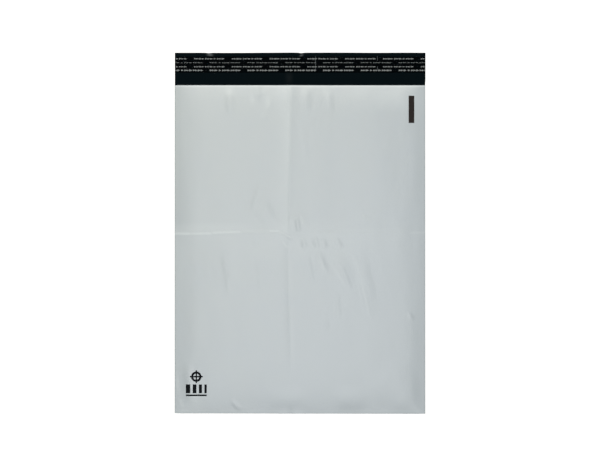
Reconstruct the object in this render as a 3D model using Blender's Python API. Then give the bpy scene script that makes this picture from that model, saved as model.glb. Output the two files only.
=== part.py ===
"""A poly mailer: a postal bag of blown film, empty, lying on its back with its mouth towards +Y.

One web of film is folded across the bottom, with its back half longer than its front half. The two halves
are welded together down both sides, which leaves a pocket that is open at the mouth, and the longer back
half runs on past the mouth as the sealing lip. A band of hot-melt adhesive lies across the lip under a
wider release liner. The bag has been folded into quarters once. Both fold marks still show, with slack
wrinkles in the front wall where they cross.

Everything is in metres, +Z up. The origin lies on the table, under the middle of the bag's outline.
"""

import math

import bmesh
import bpy
from mathutils import Vector

# The web of film
FILM_GAUGE = 0.0000635
BAG_WIDTH = 0.3683
BAG_LENGTH = 0.4826
LIP_LENGTH = 0.0468

# How the web is closed into a pocket
SIDE_WELD = 0.0030
FOLD_RADIUS = 0.00035
FOLD_STEPS = 4

# How the empty pocket stands open: its clearance in the middle and at the mouth, and how far in it rises
LOFT = 0.0024
MOUTH_GAP = 0.0007
SIDE_RISE = 0.030
FOLD_RISE = 0.045
MOUTH_RISE = 0.040

# The marks left by folding the bag into quarters: a mark's height, and how far it lifts the film beside it
LONG_CREASE_X = -0.0140
LONG_CREASE_HEIGHT = 0.0011
LONG_CREASE_REACH = 0.028
VALLEY_HEIGHT = 0.0005
CROSS_CREASE_Y = 0.0
CROSS_CREASE_HEIGHT = 0.0006
CROSS_CREASE_FADING = 0.7
CROSS_CREASE_REACH = 0.016
CREASE_TURNOVER = 0.018

# Slack wrinkles of the front wall beside the crossing: where each one starts and ends
WRINKLES = [
    ((-0.076, 0.060), (-0.030, -0.008)),
    ((-0.004, 0.050), (0.006, -0.014)),
    ((0.020, -0.018), (0.040, -0.070)),
    ((0.046, -0.016), (0.078, -0.088)),
    ((0.086, -0.010), (0.108, -0.136)),
    ((-0.108, -0.010), (-0.098, -0.094)),
]
WRINKLE_HEIGHT = 0.0008
WRINKLE_REACH = 0.014

# The seal: the liner starts this far in from the lip's free edge, with the adhesive band under its middle
LINER_INSET = 0.0044
LINER_WIDTH = 0.0240
LINER_GAUGE = 0.000040
ADHESIVE_WIDTH = 0.0120
ADHESIVE_DEPTH = 0.000060
ADHESIVE_END_GAP = 0.0145
SEAT_GAP = 0.00005

# The printed bar that a bag machine reads to keep the web in step
EYE_MARK_WIDTH = 0.0076
EYE_MARK_LENGTH = 0.0402
EYE_MARK_FROM_SIDE = 0.0165
EYE_MARK_FROM_MOUTH = 0.0162

# The net of points that carries the shape: its widest cells, on plain film and across the wrinkles
PLAIN_CELL = 0.024
WRINKLED_CELL = 0.0078
CLOSEST_LINES = 0.004
SAME_LINE = 0.000001

# Lengths that follow from the sizes above
HALF_WIDTH = BAG_WIDTH / 2
HALF_LENGTH = (BAG_LENGTH + LIP_LENGTH) / 2
LIP_EDGE_Y = HALF_LENGTH
MOUTH_Y = LIP_EDGE_Y - LIP_LENGTH
FOLD_LINE_Y = FOLD_RADIUS - HALF_LENGTH
WELD_X = HALF_WIDTH - SIDE_WELD
LINER_TOP_Y = LIP_EDGE_Y - LINER_INSET
LINER_BOTTOM_Y = LINER_TOP_Y - LINER_WIDTH
ADHESIVE_TOP_Y = (LINER_TOP_Y + LINER_BOTTOM_Y + ADHESIVE_WIDTH) / 2
ADHESIVE_BOTTOM_Y = ADHESIVE_TOP_Y - ADHESIVE_WIDTH
ADHESIVE_END_X = HALF_WIDTH - ADHESIVE_END_GAP
EYE_MARK_RIGHT_X = HALF_WIDTH - EYE_MARK_FROM_SIDE
EYE_MARK_LEFT_X = EYE_MARK_RIGHT_X - EYE_MARK_WIDTH
EYE_MARK_TOP_Y = MOUTH_Y - EYE_MARK_FROM_MOUTH
EYE_MARK_BOTTOM_Y = EYE_MARK_TOP_Y - EYE_MARK_LENGTH

# Material slots of the film, in the order in which they are added
OUTSIDE, INSIDE, INK = range(3)


def clear_scene():
    for obj in list(bpy.data.objects):
        bpy.data.objects.remove(obj)


def plastic(name, colour, roughness, alpha=1.0):
    """A Principled material, with its colour in linear light."""
    made = bpy.data.materials.new(name)
    made.use_nodes = True
    made.diffuse_color = (*colour, alpha)
    shader = made.node_tree.nodes["Principled BSDF"]
    shader.inputs["Base Color"].default_value = (*colour, 1.0)
    shader.inputs["Roughness"].default_value = roughness
    shader.inputs["Metallic"].default_value = 0.0
    shader.inputs["Alpha"].default_value = alpha
    return made


def smooth(share):
    """0 below 0 and 1 above 1, with a soft S between them."""
    share = min(1.0, max(0.0, share))
    return share * share * (3 - 2 * share)


def ridge(distance, reach):
    """A folded peak: 1 on the fold line, falling ever more gently to 0 at its reach."""
    return (1 - min(1.0, abs(distance) / reach)) ** 2


def valley(distance, reach):
    """A folded trough: 0 on the fold line and from its reach on, with a swell of 1 at either side between them."""
    share = min(1.0, abs(distance) / reach)
    return 27 / 4 * share * (1 - share) ** 2


def crease_height(x, y):
    """How far the fold marks lift both walls. The long one peaks above the crossing and is a trough below it."""
    from_long, from_cross = x - LONG_CREASE_X, y - CROSS_CREASE_Y
    above = smooth(0.5 + from_cross / (2 * CREASE_TURNOVER))
    peak = LONG_CREASE_HEIGHT * ridge(from_long, LONG_CREASE_REACH) * above
    trough = VALLEY_HEIGHT * valley(from_long, LONG_CREASE_REACH) * (1 - above)
    left = 1 - CROSS_CREASE_FADING * smooth((x + HALF_WIDTH) / BAG_WIDTH)
    cross = CROSS_CREASE_HEIGHT * ridge(from_cross, CROSS_CREASE_REACH) * left
    return max(peak, cross) + trough


def wrinkle_height(x, y):
    """How far the tallest wrinkle here lifts the front wall. Each rises from nothing at its ends to its middle."""
    heights = [0.0]
    for start, end in WRINKLES:
        run = Vector(end) - Vector(start)
        place = Vector((x, y)) - Vector(start)
        along = place.dot(run) / run.length_squared
        across = run.cross(place) / run.length
        if 0 < along < 1:
            heights.append(WRINKLE_HEIGHT * ridge(across, WRINKLE_REACH) * math.sin(math.pi * along))
    return max(heights)


def side_share(x):
    """0 at the welds, 1 where the walls have drawn fully apart."""
    return smooth((WELD_X - abs(x)) / SIDE_RISE)


def fold_radius(x):
    """The outer radius of the bottom fold, which is pressed flat where the welds cross it."""
    return FILM_GAUGE + (FOLD_RADIUS - FILM_GAUGE) * side_share(x)


def pocket_gap(x, y):
    """The clearance inside the pocket, from the back wall's inside to the front wall's."""
    fold_gap = 2 * (FOLD_RADIUS - FILM_GAUGE)
    near_fold = 1 - smooth((y - FOLD_LINE_Y) / FOLD_RISE)
    near_mouth = 1 - smooth((MOUTH_Y - y) / MOUTH_RISE)
    open_gap = LOFT - (LOFT - fold_gap) * near_fold - (LOFT - MOUTH_GAP) * near_mouth
    return side_share(x) * (open_gap + wrinkle_height(x, y))


def back_point(x, y, above=0.0):
    """A point of the back wall or the lip, at its underside or a height above that."""
    return x, y, crease_height(x, y) + above


def front_point(x, y, below=0.0):
    """A point of the front wall, at its upper side or a depth below that."""
    return x, y, crease_height(x, y) + 2 * FILM_GAUGE + pocket_gap(x, y) - below


def fold_point(x, step, inward=0.0):
    """A point of the bottom fold, which turns half a circle from the back wall to the front wall in FOLD_STEPS."""
    angle = math.pi * step / FOLD_STEPS
    centre_z = crease_height(x, FOLD_LINE_Y) + fold_radius(x)
    radius = fold_radius(x) - inward
    return x, FOLD_LINE_Y - radius * math.sin(angle), centre_z - radius * math.cos(angle)


def net_lines(edges, shape_marks, wrinkled):
    """Positions for the net's lines, in order: every edge, the shape marks that lie clear of all edges, and as
    many between them as keep the cells small enough, which are smaller inside the wrinkled range."""
    low, high = min(edges), max(edges)
    marks = [edge for i, edge in enumerate(edges) if all(abs(edge - other) > SAME_LINE for other in edges[:i])]
    for mark in shape_marks:
        if low < mark < high and all(abs(mark - other) > CLOSEST_LINES for other in marks):
            marks.append(mark)
    marks.sort()
    placed = marks[:1]
    for start, end in zip(marks, marks[1:]):
        in_wrinkles = wrinkled[0] < (start + end) / 2 < wrinkled[1]
        count = math.ceil((end - start) / (WRINKLED_CELL if in_wrinkles else PLAIN_CELL))
        placed += [start + (end - start) * i / count for i in range(1, count + 1)]
    return placed


def wrinkled_range(axis):
    """The stretch along X, axis 0, or Y, axis 1, that the wrinkles reach over."""
    places = [point[axis] for wrinkle in WRINKLES for point in wrinkle]
    return min(places) - WRINKLE_REACH, max(places) + WRINKLE_REACH


def column_lines():
    """The lines that run up the bag."""
    edges = [-HALF_WIDTH, -WELD_X, WELD_X, HALF_WIDTH, ADHESIVE_END_X, EYE_MARK_LEFT_X, EYE_MARK_RIGHT_X]
    marks = [LONG_CREASE_X + share * LONG_CREASE_REACH for share in (0.0, -0.2, 0.2, -0.5, 0.5, -1.0, 1.0)]
    marks += [side * (WELD_X - share * SIDE_RISE) for share in (0.3, 0.65, 1.0) for side in (-1, 1)]
    marks += wrinkled_range(0)
    return net_lines(edges, marks, wrinkled_range(0))


def pocket_rows():
    """The lines that run across the pocket, from the fold to the mouth."""
    edges = [FOLD_LINE_Y, MOUTH_Y, EYE_MARK_TOP_Y, EYE_MARK_BOTTOM_Y]
    marks = [CROSS_CREASE_Y + share * CROSS_CREASE_REACH for share in (0.0, -0.4, 0.4, -1.0, 1.0)]
    marks += [FOLD_LINE_Y + share * FOLD_RISE for share in (0.3, 0.65, 1.0)]
    marks += [MOUTH_Y - share * MOUTH_RISE for share in (0.3, 0.65, 1.0)]
    marks += wrinkled_range(1)
    return net_lines(edges, marks, wrinkled_range(1))


def lip_rows():
    """The lines that run across the lip, from the mouth to its free edge."""
    edges = [MOUTH_Y, LINER_BOTTOM_Y, ADHESIVE_BOTTOM_Y, ADHESIVE_TOP_Y, LINER_TOP_Y, LIP_EDGE_Y]
    return net_lines(edges, [], wrinkled_range(1))


def net(bm, rows):
    """Vertices for rows of points."""
    return [[bm.verts.new(point) for point in row] for row in rows]


def skin(bm, rows, facing_up, slot=0):
    """Quads over a net whose rows follow each other towards +Y, or up round the fold, and run towards +X."""
    faces = []
    for lower, upper in zip(rows, rows[1:]):
        for i in range(len(lower) - 1):
            corners = [lower[i], lower[i + 1], upper[i + 1], upper[i]]
            face = bm.faces.new(corners if facing_up else [corners[0], *corners[:0:-1]])
            face.material_index = slot
            faces.append(face)
    return faces


def rim(bm, first, second):
    """A strip of quads between two equal lines of vertices. Seen from outside, they run to the right and the
    first is the lower one."""
    for i in range(len(first) - 1):
        bm.faces.new([first[i], first[i + 1], second[i + 1], second[i]])


def finish_mesh(bm, name, materials):
    """Turns the bmesh into a named object that is smooth, apart from its sharp edges."""
    mesh = bpy.data.meshes.new(name)
    bm.to_mesh(mesh)
    bm.free()
    for material in materials:
        mesh.materials.append(material)
    mesh.shade_smooth()
    mesh.set_sharp_from_angle(angle=math.radians(40))
    obj = bpy.data.objects.new(name, mesh)
    bpy.context.scene.collection.objects.link(obj)
    return obj


def film_bag():
    """The folded and welded web, as one solid. Its outer skin is the underside and upper side that show, and its
    inner skin lies one film gauge inside that and lines the pocket."""
    bm = bmesh.new()
    columns, pocket, lip = column_lines(), pocket_rows(), lip_rows()
    lined = [x for x in columns if abs(x) <= WELD_X + SAME_LINE]
    steps = range(1, FOLD_STEPS)

    back = net(bm, [[back_point(x, y) for x in columns] for y in pocket + lip[1:]])
    fold = net(bm, [[fold_point(x, step) for x in columns] for step in steps])
    front = net(bm, [[front_point(x, y) for x in columns] for y in pocket])
    skin(bm, back, facing_up=False, slot=OUTSIDE)
    skin(bm, [back[0], *fold, front[0]], facing_up=True, slot=OUTSIDE)
    ink_eye_mark(skin(bm, front, facing_up=True, slot=OUTSIDE))

    lip_face = net(bm, [[back_point(x, y, FILM_GAUGE) for x in columns] for y in lip])
    back_inside = net(bm, [[back_point(x, y, FILM_GAUGE) for x in lined] for y in pocket])
    fold_inside = net(bm, [[fold_point(x, step, FILM_GAUGE) for x in lined] for step in steps])
    front_inside = net(bm, [[front_point(x, y, FILM_GAUGE) for x in lined] for y in pocket])
    skin(bm, lip_face, facing_up=True, slot=INSIDE)
    skin(bm, back_inside, facing_up=True, slot=INSIDE)
    skin(bm, [back_inside[0], *fold_inside, front_inside[0]], facing_up=False, slot=INSIDE)
    skin(bm, front_inside, facing_up=False, slot=INSIDE)

    side_rim(bm, back, fold, front, lip_face, side=0)
    side_rim(bm, back, fold, front, lip_face, side=-1)
    rim(bm, lip_face[-1], back[-1])
    mouth_line = [lip_face[0][i] for i, x in enumerate(columns) if x < -WELD_X - SAME_LINE]
    mouth_line += front_inside[-1]
    mouth_line += [lip_face[0][i] for i, x in enumerate(columns) if x > WELD_X + SAME_LINE]
    rim(bm, front[-1], mouth_line)

    # The inner skins were laid with points of their own, which meet along the welds and the mouth
    bmesh.ops.remove_doubles(bm, verts=bm.verts, dist=SAME_LINE / 2)
    return finish_mesh(bm, "film_bag", [FILM_GREY, FILM_BLACK, INK_BROWN])


def ink_eye_mark(front_faces):
    """Gives the ink to the cells of the front wall that the eye mark covers."""
    for face in front_faces:
        centre = face.calc_center_median()
        across = EYE_MARK_LEFT_X < centre.x < EYE_MARK_RIGHT_X
        if across and EYE_MARK_BOTTOM_Y < centre.y < EYE_MARK_TOP_Y:
            face.material_index = INK


def side_rim(bm, back, fold, front, lip_face, side):
    """The cut edge down one side, on the left for side 0 and on the right for side -1. It is two films thick from
    the fold to the mouth and one film thick along the lip."""
    mouth = len(front) - 1
    outlines = [[back[0][side], *[row[side] for row in fold], front[0][side]]]
    for j in range(mouth):
        outline = [back[j][side], front[j][side], front[j + 1][side], back[j + 1][side]]
        if j + 1 == mouth:
            outline.insert(3, lip_face[0][side])
        outlines.append(outline)
    for j in range(len(lip_face) - 1):
        start, end = mouth + j, mouth + j + 1
        outlines.append([back[start][side], lip_face[j][side], lip_face[j + 1][side], back[end][side]])
    for outline in outlines:
        bm.faces.new(outline if side == 0 else outline[::-1])


def strip(name, bottom_y, top_y, right_x, seat, depth, material):
    """A flat strip across the lip, from its left edge to right_x, at a seat above the film's underside. It lies on
    the lip's own lines, so it follows every crease of the lip."""
    bm = bmesh.new()
    columns = [x for x in column_lines() if x <= right_x + SAME_LINE]
    rows = [y for y in lip_rows() if bottom_y - SAME_LINE <= y <= top_y + SAME_LINE]
    under = net(bm, [[back_point(x, y, seat) for x in columns] for y in rows])
    over = net(bm, [[back_point(x, y, seat + depth) for x in columns] for y in rows])
    skin(bm, under, facing_up=False)
    skin(bm, over, facing_up=True)
    rim(bm, under[0], over[0])
    rim(bm, over[-1], under[-1])
    rim(bm, [row[0] for row in over], [row[0] for row in under])
    rim(bm, [row[-1] for row in under], [row[-1] for row in over])
    return finish_mesh(bm, name, [material])


def adhesive_strip():
    """The band of hot-melt adhesive, which stops short of the right-hand edge."""
    seat = FILM_GAUGE + SEAT_GAP
    return strip(
        "adhesive_strip", ADHESIVE_BOTTOM_Y, ADHESIVE_TOP_Y, ADHESIVE_END_X, seat, ADHESIVE_DEPTH, ADHESIVE_DARK
    )


def release_liner():
    """The peel-off liner, which spans the bag and overhangs the adhesive on both sides as a finger lift."""
    seat = FILM_GAUGE + SEAT_GAP + ADHESIVE_DEPTH + SEAT_GAP
    return strip("release_liner", LINER_BOTTOM_Y, LINER_TOP_Y, HALF_WIDTH, seat, LINER_GAUGE, LINER_CLEAR)


clear_scene()
FILM_GREY = plastic("film_outside", (0.56, 0.60, 0.60), 0.38)
FILM_BLACK = plastic("film_inside", (0.004, 0.006, 0.007), 0.42)
INK_BROWN = plastic("eye_mark_ink", (0.030, 0.026, 0.025), 0.50)
ADHESIVE_DARK = plastic("hot_melt", (0.006, 0.006, 0.005), 0.30)
LINER_CLEAR = plastic("release_film", (0.02, 0.025, 0.03), 0.25, alpha=0.6)
film_bag()
adhesive_strip()
release_liner()
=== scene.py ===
# %% [markdown]
# # A poly mailer, lying flat
#
# This notebook dresses a grey postal bag. The real one is a single web of polythene film, 0.0635 mm
# thick, that was blown as a tube in two colours, slit, folded across the bottom and welded down both
# sides. Its back half is longer and becomes the black sealing lip, with a band of adhesive under a clear
# release liner. It has lain in a box, folded into quarters, and both fold marks are still in it.
#
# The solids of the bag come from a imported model, so the first cell only loads them. Every surface that
# shows is then rebuilt here with a fine mesh, because film this thin is all about small slopes.

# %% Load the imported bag
import math

import bmesh
import bpy
import numpy as np
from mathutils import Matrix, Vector, noise


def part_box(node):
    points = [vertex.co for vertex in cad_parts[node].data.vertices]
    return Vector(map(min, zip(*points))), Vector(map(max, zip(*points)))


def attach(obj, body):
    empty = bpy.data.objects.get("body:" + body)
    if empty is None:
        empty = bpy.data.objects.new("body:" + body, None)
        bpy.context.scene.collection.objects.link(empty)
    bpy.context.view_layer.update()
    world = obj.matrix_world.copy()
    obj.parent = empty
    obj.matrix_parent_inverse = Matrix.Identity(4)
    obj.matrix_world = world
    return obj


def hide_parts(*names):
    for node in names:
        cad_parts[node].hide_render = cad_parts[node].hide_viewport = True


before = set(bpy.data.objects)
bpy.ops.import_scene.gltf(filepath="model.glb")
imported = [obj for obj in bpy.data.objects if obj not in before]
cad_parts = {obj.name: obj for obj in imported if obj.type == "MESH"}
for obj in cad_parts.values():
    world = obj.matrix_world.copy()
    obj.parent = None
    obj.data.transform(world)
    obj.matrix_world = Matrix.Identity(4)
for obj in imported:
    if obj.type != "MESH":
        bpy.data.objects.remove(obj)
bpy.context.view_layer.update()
print("packed nodes:", sorted(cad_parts))

# %% [markdown]
# ## Sizes
#
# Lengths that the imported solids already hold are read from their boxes, so that this file can't drift
# away from them. Only what a box can't tell, such as where the front wall ends, is written down again.
# All of it is in metres, and `MM` keeps small sizes easy to read.

# %% Read the main lengths
MM = 0.001

film_low, film_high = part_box("film_bag")
liner_low, liner_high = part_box("release_liner")
glue_low, glue_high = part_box("adhesive_strip")

HALF_WIDTH = film_high.x
LIP_EDGE_Y = film_high.y
FOLD_Y = film_low.y
FILM_GAUGE = 0.0635 * MM
LIP_LENGTH = 46.8 * MM
MOUTH_Y = LIP_EDGE_Y - LIP_LENGTH
SIDE_WELD = 3.0 * MM
WELD_X = HALF_WIDTH - SIDE_WELD
print(f"bag {2 * HALF_WIDTH / MM:.1f} mm wide, pocket {(MOUTH_Y - FOLD_Y) / MM:.1f} mm deep")

# %% [markdown]
# ## How the film lies
#
# A height field is the natural tool for a flat bag: for each place on the table it says how high the film
# is. Each effect gets a function of its own, and numpy works all the points out at once. `smooth` eases a
# value in and out. `ridge` and `valley` are the sharp profiles of a folded peak and a folded trough,
# `swell` is the round one of a wrinkle, and `roll_off` is how a pillow rises from its seam.

# %% Profiles
def smooth(share):
    """0 below 0 and 1 above 1, with a soft S between them."""
    share = np.clip(share, 0.0, 1.0)
    return share * share * (3 - 2 * share)


def ridge(distance, reach):
    """1 on the fold line, falling ever more gently to 0 at its reach."""
    return (1 - np.clip(np.abs(distance) / reach, 0.0, 1.0)) ** 2


def valley(distance, reach):
    """0 on the fold line and from its reach on, with a swell of 1 at either side between them."""
    share = np.clip(np.abs(distance) / reach, 0.0, 1.0)
    highest = 4 / 27
    return share * (1 - share) ** 2 / highest


def swell(distance, reach):
    """1 in the middle, level there, falling to 0 at its reach."""
    return (1 - np.clip(np.abs(distance) / reach, 0.0, 1.0) ** 2) ** 2


def roll_off(distance, reach):
    """0 at a seam, where it is steepest, and 1 from its reach on."""
    return 1 - (1 - np.clip(distance / reach, 0.0, 1.0)) ** 2


for profile in (ridge, valley, swell, roll_off):
    print(profile.__name__, "at a quarter of its reach:", round(float(profile(0.25, 1.0)), 3))

# %% [markdown]
# The two fold marks cross near the middle. The long one stands up as a ridge above the crossing, because
# there the bag was folded backwards, and it is a trough below it. The cross mark is a low ridge that
# fades to the right. Both walls carry them, so this first function is the one that lifts the back wall
# and the lip.

# %% The quarter folds
LONG_FOLD_X = -14.0 * MM
LONG_FOLD_HEIGHT = 1.1 * MM
LONG_FOLD_REACH = 28.0 * MM
TROUGH_HEIGHT = 0.5 * MM
CROSS_FOLD_Y = 0.0
CROSS_FOLD_HEIGHT = 0.6 * MM
CROSS_FOLD_REACH = 16.0 * MM
CROSS_FOLD_FADING = 0.7
TURNOVER = 18.0 * MM


def above_crossing(y):
    """1 in the half near the mouth, 0 in the half near the bottom fold."""
    return smooth(0.5 + (y - CROSS_FOLD_Y) / (2 * TURNOVER))


def cross_fold_height(x, y):
    """The low ridge of the cross mark, in both walls."""
    fading = 1 - CROSS_FOLD_FADING * smooth((x + HALF_WIDTH) / (2 * HALF_WIDTH))
    return CROSS_FOLD_HEIGHT * ridge(y - CROSS_FOLD_Y, CROSS_FOLD_REACH) * fading


def fold_height(x, y):
    """How far the fold marks lift the back wall off the table."""
    from_long, above = x - LONG_FOLD_X, above_crossing(y)
    peak = LONG_FOLD_HEIGHT * ridge(from_long, LONG_FOLD_REACH) * above
    trough = TROUGH_HEIGHT * valley(from_long, LONG_FOLD_REACH) * (1 - above)
    return np.maximum(peak, cross_fold_height(x, y)) + trough


print(f"the ridge stands {float(fold_height(LONG_FOLD_X, 0.1)) / MM:.2f} mm high half way up the bag")

# %% [markdown]
# The front wall is the one that is seen, so its fold marks are drawn more closely. The ridge falls off
# over a broad flank at its left and a short one at its right, and its line leans a little. In the lower
# half the wall dips along the line instead, less and less towards the bottom. At the mouth nothing holds
# the ridge down, so the edge gapes there.

# %% Fold marks in the front wall
LEAN = 2.8 * MM
LEAN_FROM_Y = 40 * MM
LEAN_LENGTH = 170 * MM
RIGHT_FLANK_REACH = 15.0 * MM
RIGHT_FLANK_DROP = 0.44 * MM
RIGHT_SLOPE_REACH = 90.0 * MM
LOWER_SHIFT = 3.6 * MM
LOWER_SHIFT_START = 1.1
LOWER_SHIFT_LENGTH = 190 * MM
DIP_DEPTH = 0.72 * MM
DIP_LEFT = 14.0 * MM
DIP_RIGHT = 55.0 * MM
DIP_FADING = 130.0 * MM
GAPE_HEIGHT = 0.36 * MM
GAPE_LEFT = 11.0 * MM
GAPE_RIGHT = 42.0 * MM
GAPE_DEPTH = 52.0 * MM


def from_long_fold(x, y):
    """The distance to the right of the front wall's long fold, which leans and jogs by a few millimetres."""
    above = above_crossing(y)
    lean = LEAN * (0.5 - smooth((y - LEAN_FROM_Y) / LEAN_LENGTH)) * above
    jog = LOWER_SHIFT * smooth(LOWER_SHIFT_START + y / LOWER_SHIFT_LENGTH) * (1 - above)
    return x - LONG_FOLD_X + lean + jog


def front_fold_height(x, y):
    """How far the fold marks lift the front wall."""
    from_long, above = from_long_fold(x, y), above_crossing(y)
    left_flank = LONG_FOLD_HEIGHT * ridge(from_long, LONG_FOLD_REACH)
    slope = (LONG_FOLD_HEIGHT - RIGHT_FLANK_DROP) * (1 - smooth(from_long / RIGHT_SLOPE_REACH))
    right_flank = slope + RIGHT_FLANK_DROP * ridge(from_long, RIGHT_FLANK_REACH)
    peak = np.where(from_long < 0, left_flank, right_flank) * above
    dip = np.where(from_long < 0, ridge(from_long, DIP_LEFT), swell(from_long, DIP_RIGHT))
    gape = np.where(from_long < 0, swell(from_long, GAPE_LEFT), swell(from_long, GAPE_RIGHT))
    near_mouth = smooth(1 - (MOUTH_Y - y) / GAPE_DEPTH)
    dip_height = -DIP_DEPTH * dip * (1 - above) * smooth((y - FOLD_Y) / DIP_FADING)
    return np.maximum(peak, cross_fold_height(x, y)) + dip_height + GAPE_HEIGHT * gape * near_mouth


print(f"the front wall dips {-float(front_fold_height(LONG_FOLD_X, -0.1)) / MM:.2f} mm in the lower half")

# %% [markdown]
# Film that has been folded twice is slack at the crossing, and the slack runs off in wrinkles. Each is
# drawn as a stroke from one point to another, from the photograph. Its two ends, its height and its
# half-width are all in millimetres. The broad ones come first. They are in the imported solid too. The
# narrow ones are the crumple at the crossing, the small pulls at the mouth, the puckers above the bottom
# fold, a dent beside the right weld and the creased corners.

# %% Wrinkles as strokes
BROAD_WRINKLES = [
    ((-76, 60), (-30, -8), 0.5, 14),
    ((-4, 50), (6, -14), 0.4, 14),
    ((20, -18), (40, -70), 0.4, 14),
    ((46, -16), (78, -88), 0.4, 14),
    ((86, -10), (108, -136), 0.5, 14),
    ((-108, -10), (-98, -94), 0.4, 14),
]
NARROW_WRINKLES = [
    ((-32, 6), (-6, -12), 0.34, 4),
    ((-17, 22), (-4, 25), 0.35, 4),
    ((-5, 26), (-2, 0), 0.60, 4),
    ((-72, 28), (-55, 82), 0.30, 6),
    ((-60, 58), (-24, -4), 0.42, 9),
    ((-70, -6), (-58, -24), 0.30, 5),
    ((4, -6), (8, -24), 0.61, 5),
    ((20, -5), (28, -23), 0.56, 6),
    ((32, -6), (37, -24), 0.50, 6),
    ((51, -6), (62, -24), 0.48, 6),
    ((15, -28), (24, -74), 0.36, 4),
    ((24, -22), (42, -62), 0.24, 4),
    ((58, -42), (77, -88), 0.34, 4),
    ((76, -22), (88, -66), 0.14, 4),
    ((88, -66), (104, -128), 0.32, 4),
    ((54, -80), (57, -132), 0.34, 4),
    ((38, -124), (40, -144), 0.34, 3.5),
    ((-113, -32), (-107, -66), 0.14, 4),
    ((-107, -62), (-103, -92), 0.20, 4),
    ((-60, -18), (-56, -104), 0.26, 8),
    ((90, 26), (100, 20), 0.24, 4),
    ((159, -116), (166, -128), 0.42, 4),
    ((12, 100), (2, 168), 0.16, 5),
    ((-52, -244), (18, -244), 0.43, 22),
    ((44, -244), (106, -243), 0.44, 22),
    ((-168, -186), (-158, -262), 0.45, 11),
    ((-102, -244), (-86, -262), 0.40, 5),
    ((112, -192), (178, -264), 0.56, 40),
    ((-104, 216), (-102, 170), 0.55, 9),
    ((-64, 230), (-61, 192), 0.45, 8),
    ((8, 216), (10, 174), 0.30, 9),
    ((44, 216), (44, 174), 0.20, 7),
    ((-60, 166), (-44, 176), 0.22, 5),
    ((-72, 186), (-50, 214), 0.16, 5),
    ((-54, 172), (-40, 198), 0.16, 5),
]


def stroke_height(x, y, strokes, ends=0.5):
    """The tallest stroke at each place. Each rises from nothing over a share of its length at both ends."""
    tallest = np.zeros_like(x)
    for start, end, height, reach in strokes:
        start, run = np.array(start) * MM, (np.array(end) - np.array(start)) * MM
        length = math.hypot(*run)
        along = ((x - start[0]) * run[0] + (y - start[1]) * run[1]) / length**2
        across = ((x - start[0]) * run[1] - (y - start[1]) * run[0]) / length
        rise = smooth(along / ends) * smooth((1 - along) / ends)
        tallest = np.maximum(tallest, height * rise * swell(across, reach * MM))
    return tallest


print(len(BROAD_WRINKLES), "broad and", len(NARROW_WRINKLES), "narrow wrinkles")

# %% [markdown]
# Film is never quite flat between its wrinkles. Smooth noise adds a slow unevenness, stretched along the
# bag as the film was drawn from its die, and the front wall gets a finer crumple as well, of a few
# hundredths of a millimetre. Blender's noise gives the same values on every run. Each use of it reads a
# layer of its own.

# %% Slow unevenness
SLACK_HEIGHT = 0.22 * MM
SLACK_ACROSS = 26 * MM
SLACK_ALONG = 80 * MM
CRUMPLE_HEIGHT = 0.045 * MM
CRUMPLE_ACROSS = 8 * MM
CRUMPLE_ALONG = 20 * MM
FRONT_LAYER = 1.5
LIP_LAYER = 4.5
CRUMPLE_LAYER = 9.5


def noise_field(x, y, across, along, layer):
    """Smooth noise from -1 to 1 at every point, in cells of this size."""
    flat = [noise.noise(Vector((u / across, v / along, layer))) for u, v in zip(x.flat, y.flat)]
    return np.array(flat).reshape(x.shape)


def slack(x, y, layer):
    """A slow unevenness of about a tenth of a millimetre."""
    return SLACK_HEIGHT * noise_field(x, y, SLACK_ACROSS, SLACK_ALONG, layer)


def crumple(x, y):
    """The fine unevenness of the front wall."""
    return CRUMPLE_HEIGHT * noise_field(x, y, CRUMPLE_ACROSS, CRUMPLE_ALONG, CRUMPLE_LAYER)


sample = slack(np.linspace(-0.1, 0.1, 9), np.zeros(9), FRONT_LAYER)
print("unevenness in mm:", [round(float(value) / MM, 3) for value in sample])

# %% [markdown]
# The front wall stands a little off the back wall, since there is always some air in the pocket. It comes
# down to the back wall at the welds, the bottom fold and the mouth like the cover of a pillow. Near the
# mouth it rolls off more quickly at the left than at the right, and lower down it is the other way round.
# That slope is what shades the bag's borders.

# %% Where the walls lie
LOFT = 3.0 * MM
MOUTH_GAP_LEFT = 1.5 * MM
MOUTH_GAP_RIGHT = 0.3 * MM
FOLD_GAP = 0.3 * MM
SEAM_GAP = 0.02 * MM
FOLD_ROUNDING = 0.35 * MM
FOLD_LINE_Y = FOLD_Y + FOLD_ROUNDING
LEFT_ROLL = 60 * MM
LEFT_ROLL_EASING = 0.6
RIGHT_ROLL = 84 * MM
FOLD_ROLL = 75 * MM
MOUTH_ROLL = 60 * MM
CORNER_SHARPNESS = 3.0
SMALLEST_SHARE = 0.001


def softer_min(first, second):
    """The smaller of two shares, with the corner between them rounded off."""
    first, second = np.maximum(first, SMALLEST_SHARE), np.maximum(second, SMALLEST_SHARE)
    return (first**-CORNER_SHARPNESS + second**-CORNER_SHARPNESS) ** (-1 / CORNER_SHARPNESS)


def left_roll(y):
    """How far from the left weld the wall is still rising, which is further in the lower half."""
    return LEFT_ROLL * (1 + LEFT_ROLL_EASING * (1 - above_crossing(y)))


def pillow(x, y):
    """The air between two smooth walls."""
    across = roll_off(WELD_X + x, left_roll(y)) * roll_off(WELD_X - x, RIGHT_ROLL)
    at_mouth = MOUTH_GAP_LEFT + (MOUTH_GAP_RIGHT - MOUTH_GAP_LEFT) * smooth(0.5 + x / (2 * WELD_X))
    from_fold = FOLD_GAP + (LOFT - FOLD_GAP) * roll_off(y - FOLD_LINE_Y, FOLD_ROLL)
    from_mouth = at_mouth + (LOFT - at_mouth) * roll_off(MOUTH_Y - y, MOUTH_ROLL)
    return LOFT * softer_min(across, from_fold * from_mouth / LOFT**2)


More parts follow.
